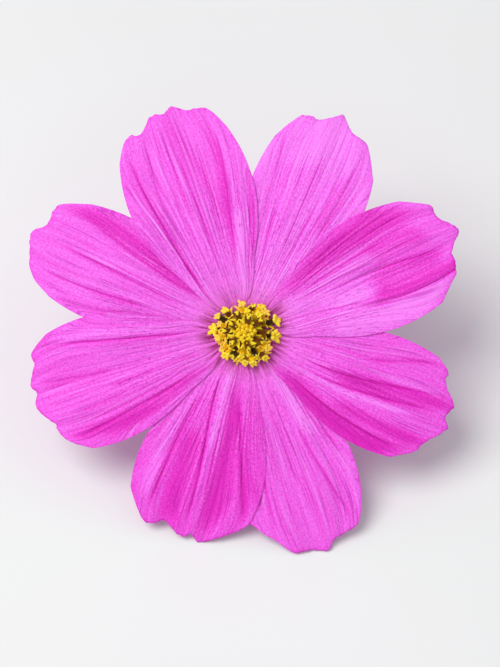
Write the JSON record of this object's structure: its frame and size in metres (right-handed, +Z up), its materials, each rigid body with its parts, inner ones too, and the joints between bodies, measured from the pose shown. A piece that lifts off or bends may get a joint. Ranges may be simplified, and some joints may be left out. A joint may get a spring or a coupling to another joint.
{
  "type": "cosmos flower",
  "caption": "Picked garden cosmos flower with broad pleated magenta-pink petals round a golden disc, lying on its lower petals and its short bent stem.",
  "frame": {"origin": "middle of the footprint, on the surface that the flower rests on", "axes": "+Z up; the face of the flower leans towards -Y and is seen square on from 57 degrees above -Y; +X is to the right when it is seen so; the stem lies along +Y"},
  "size_m": [0.0752, 0.0932, 0.0437],
  "materials": {
    "petal": "satin",
    "disc": "matte",
    "inner_bract": "satin",
    "outer_bract": "matte",
    "stem": "matte"
  },
  "bodies": {
    "root": {"stem": "stem", "ray_floret_1": "petal", "ray_floret_2": "petal", "ray_floret_3": "petal", "ray_floret_4": "petal", "ray_floret_5": "petal", "ray_floret_6": "petal", "ray_floret_7": "petal", "ray_floret_8": "petal", "disc_buds": "disc", "disc_floret_01": "disc", "disc_floret_02": "disc", "disc_floret_03": "disc", "disc_floret_04": "disc", "disc_floret_05": "disc", "disc_floret_06": "disc", "disc_floret_07": "disc", "disc_floret_08": "disc", "disc_floret_09": "disc", "disc_floret_10": "disc", "disc_floret_11": "disc", "disc_floret_12": "disc", "disc_floret_13": "disc", "disc_floret_14": "disc", "disc_floret_15": "disc", "disc_floret_16": "disc", "disc_floret_17": "disc", "disc_floret_18": "disc", "disc_floret_19": "disc", "disc_floret_20": "disc", "disc_floret_21": "disc", "disc_floret_22": "disc", "disc_floret_23": "disc", "disc_floret_24": "disc", "disc_floret_25": "disc", "disc_floret_26": "disc", "disc_floret_27": "disc", "disc_floret_28": "disc", "disc_floret_29": "disc", "disc_floret_30": "disc", "disc_floret_31": "disc", "disc_floret_32": "disc", "disc_floret_33": "disc", "inner_bract_1": "inner_bract", "inner_bract_2": "inner_bract", "inner_bract_3": "inner_bract", "inner_bract_4": "inner_bract", "inner_bract_5": "inner_bract", "inner_bract_6": "inner_bract", "inner_bract_7": "inner_bract", "inner_bract_8": "inner_bract", "outer_bract_1": "outer_bract", "outer_bract_2": "outer_bract", "outer_bract_3": "outer_bract", "outer_bract_4": "outer_bract", "outer_bract_5": "outer_bract", "outer_bract_6": "outer_bract", "outer_bract_7": "outer_bract", "outer_bract_8": "outer_bract"}
  },
  "joints": []
}
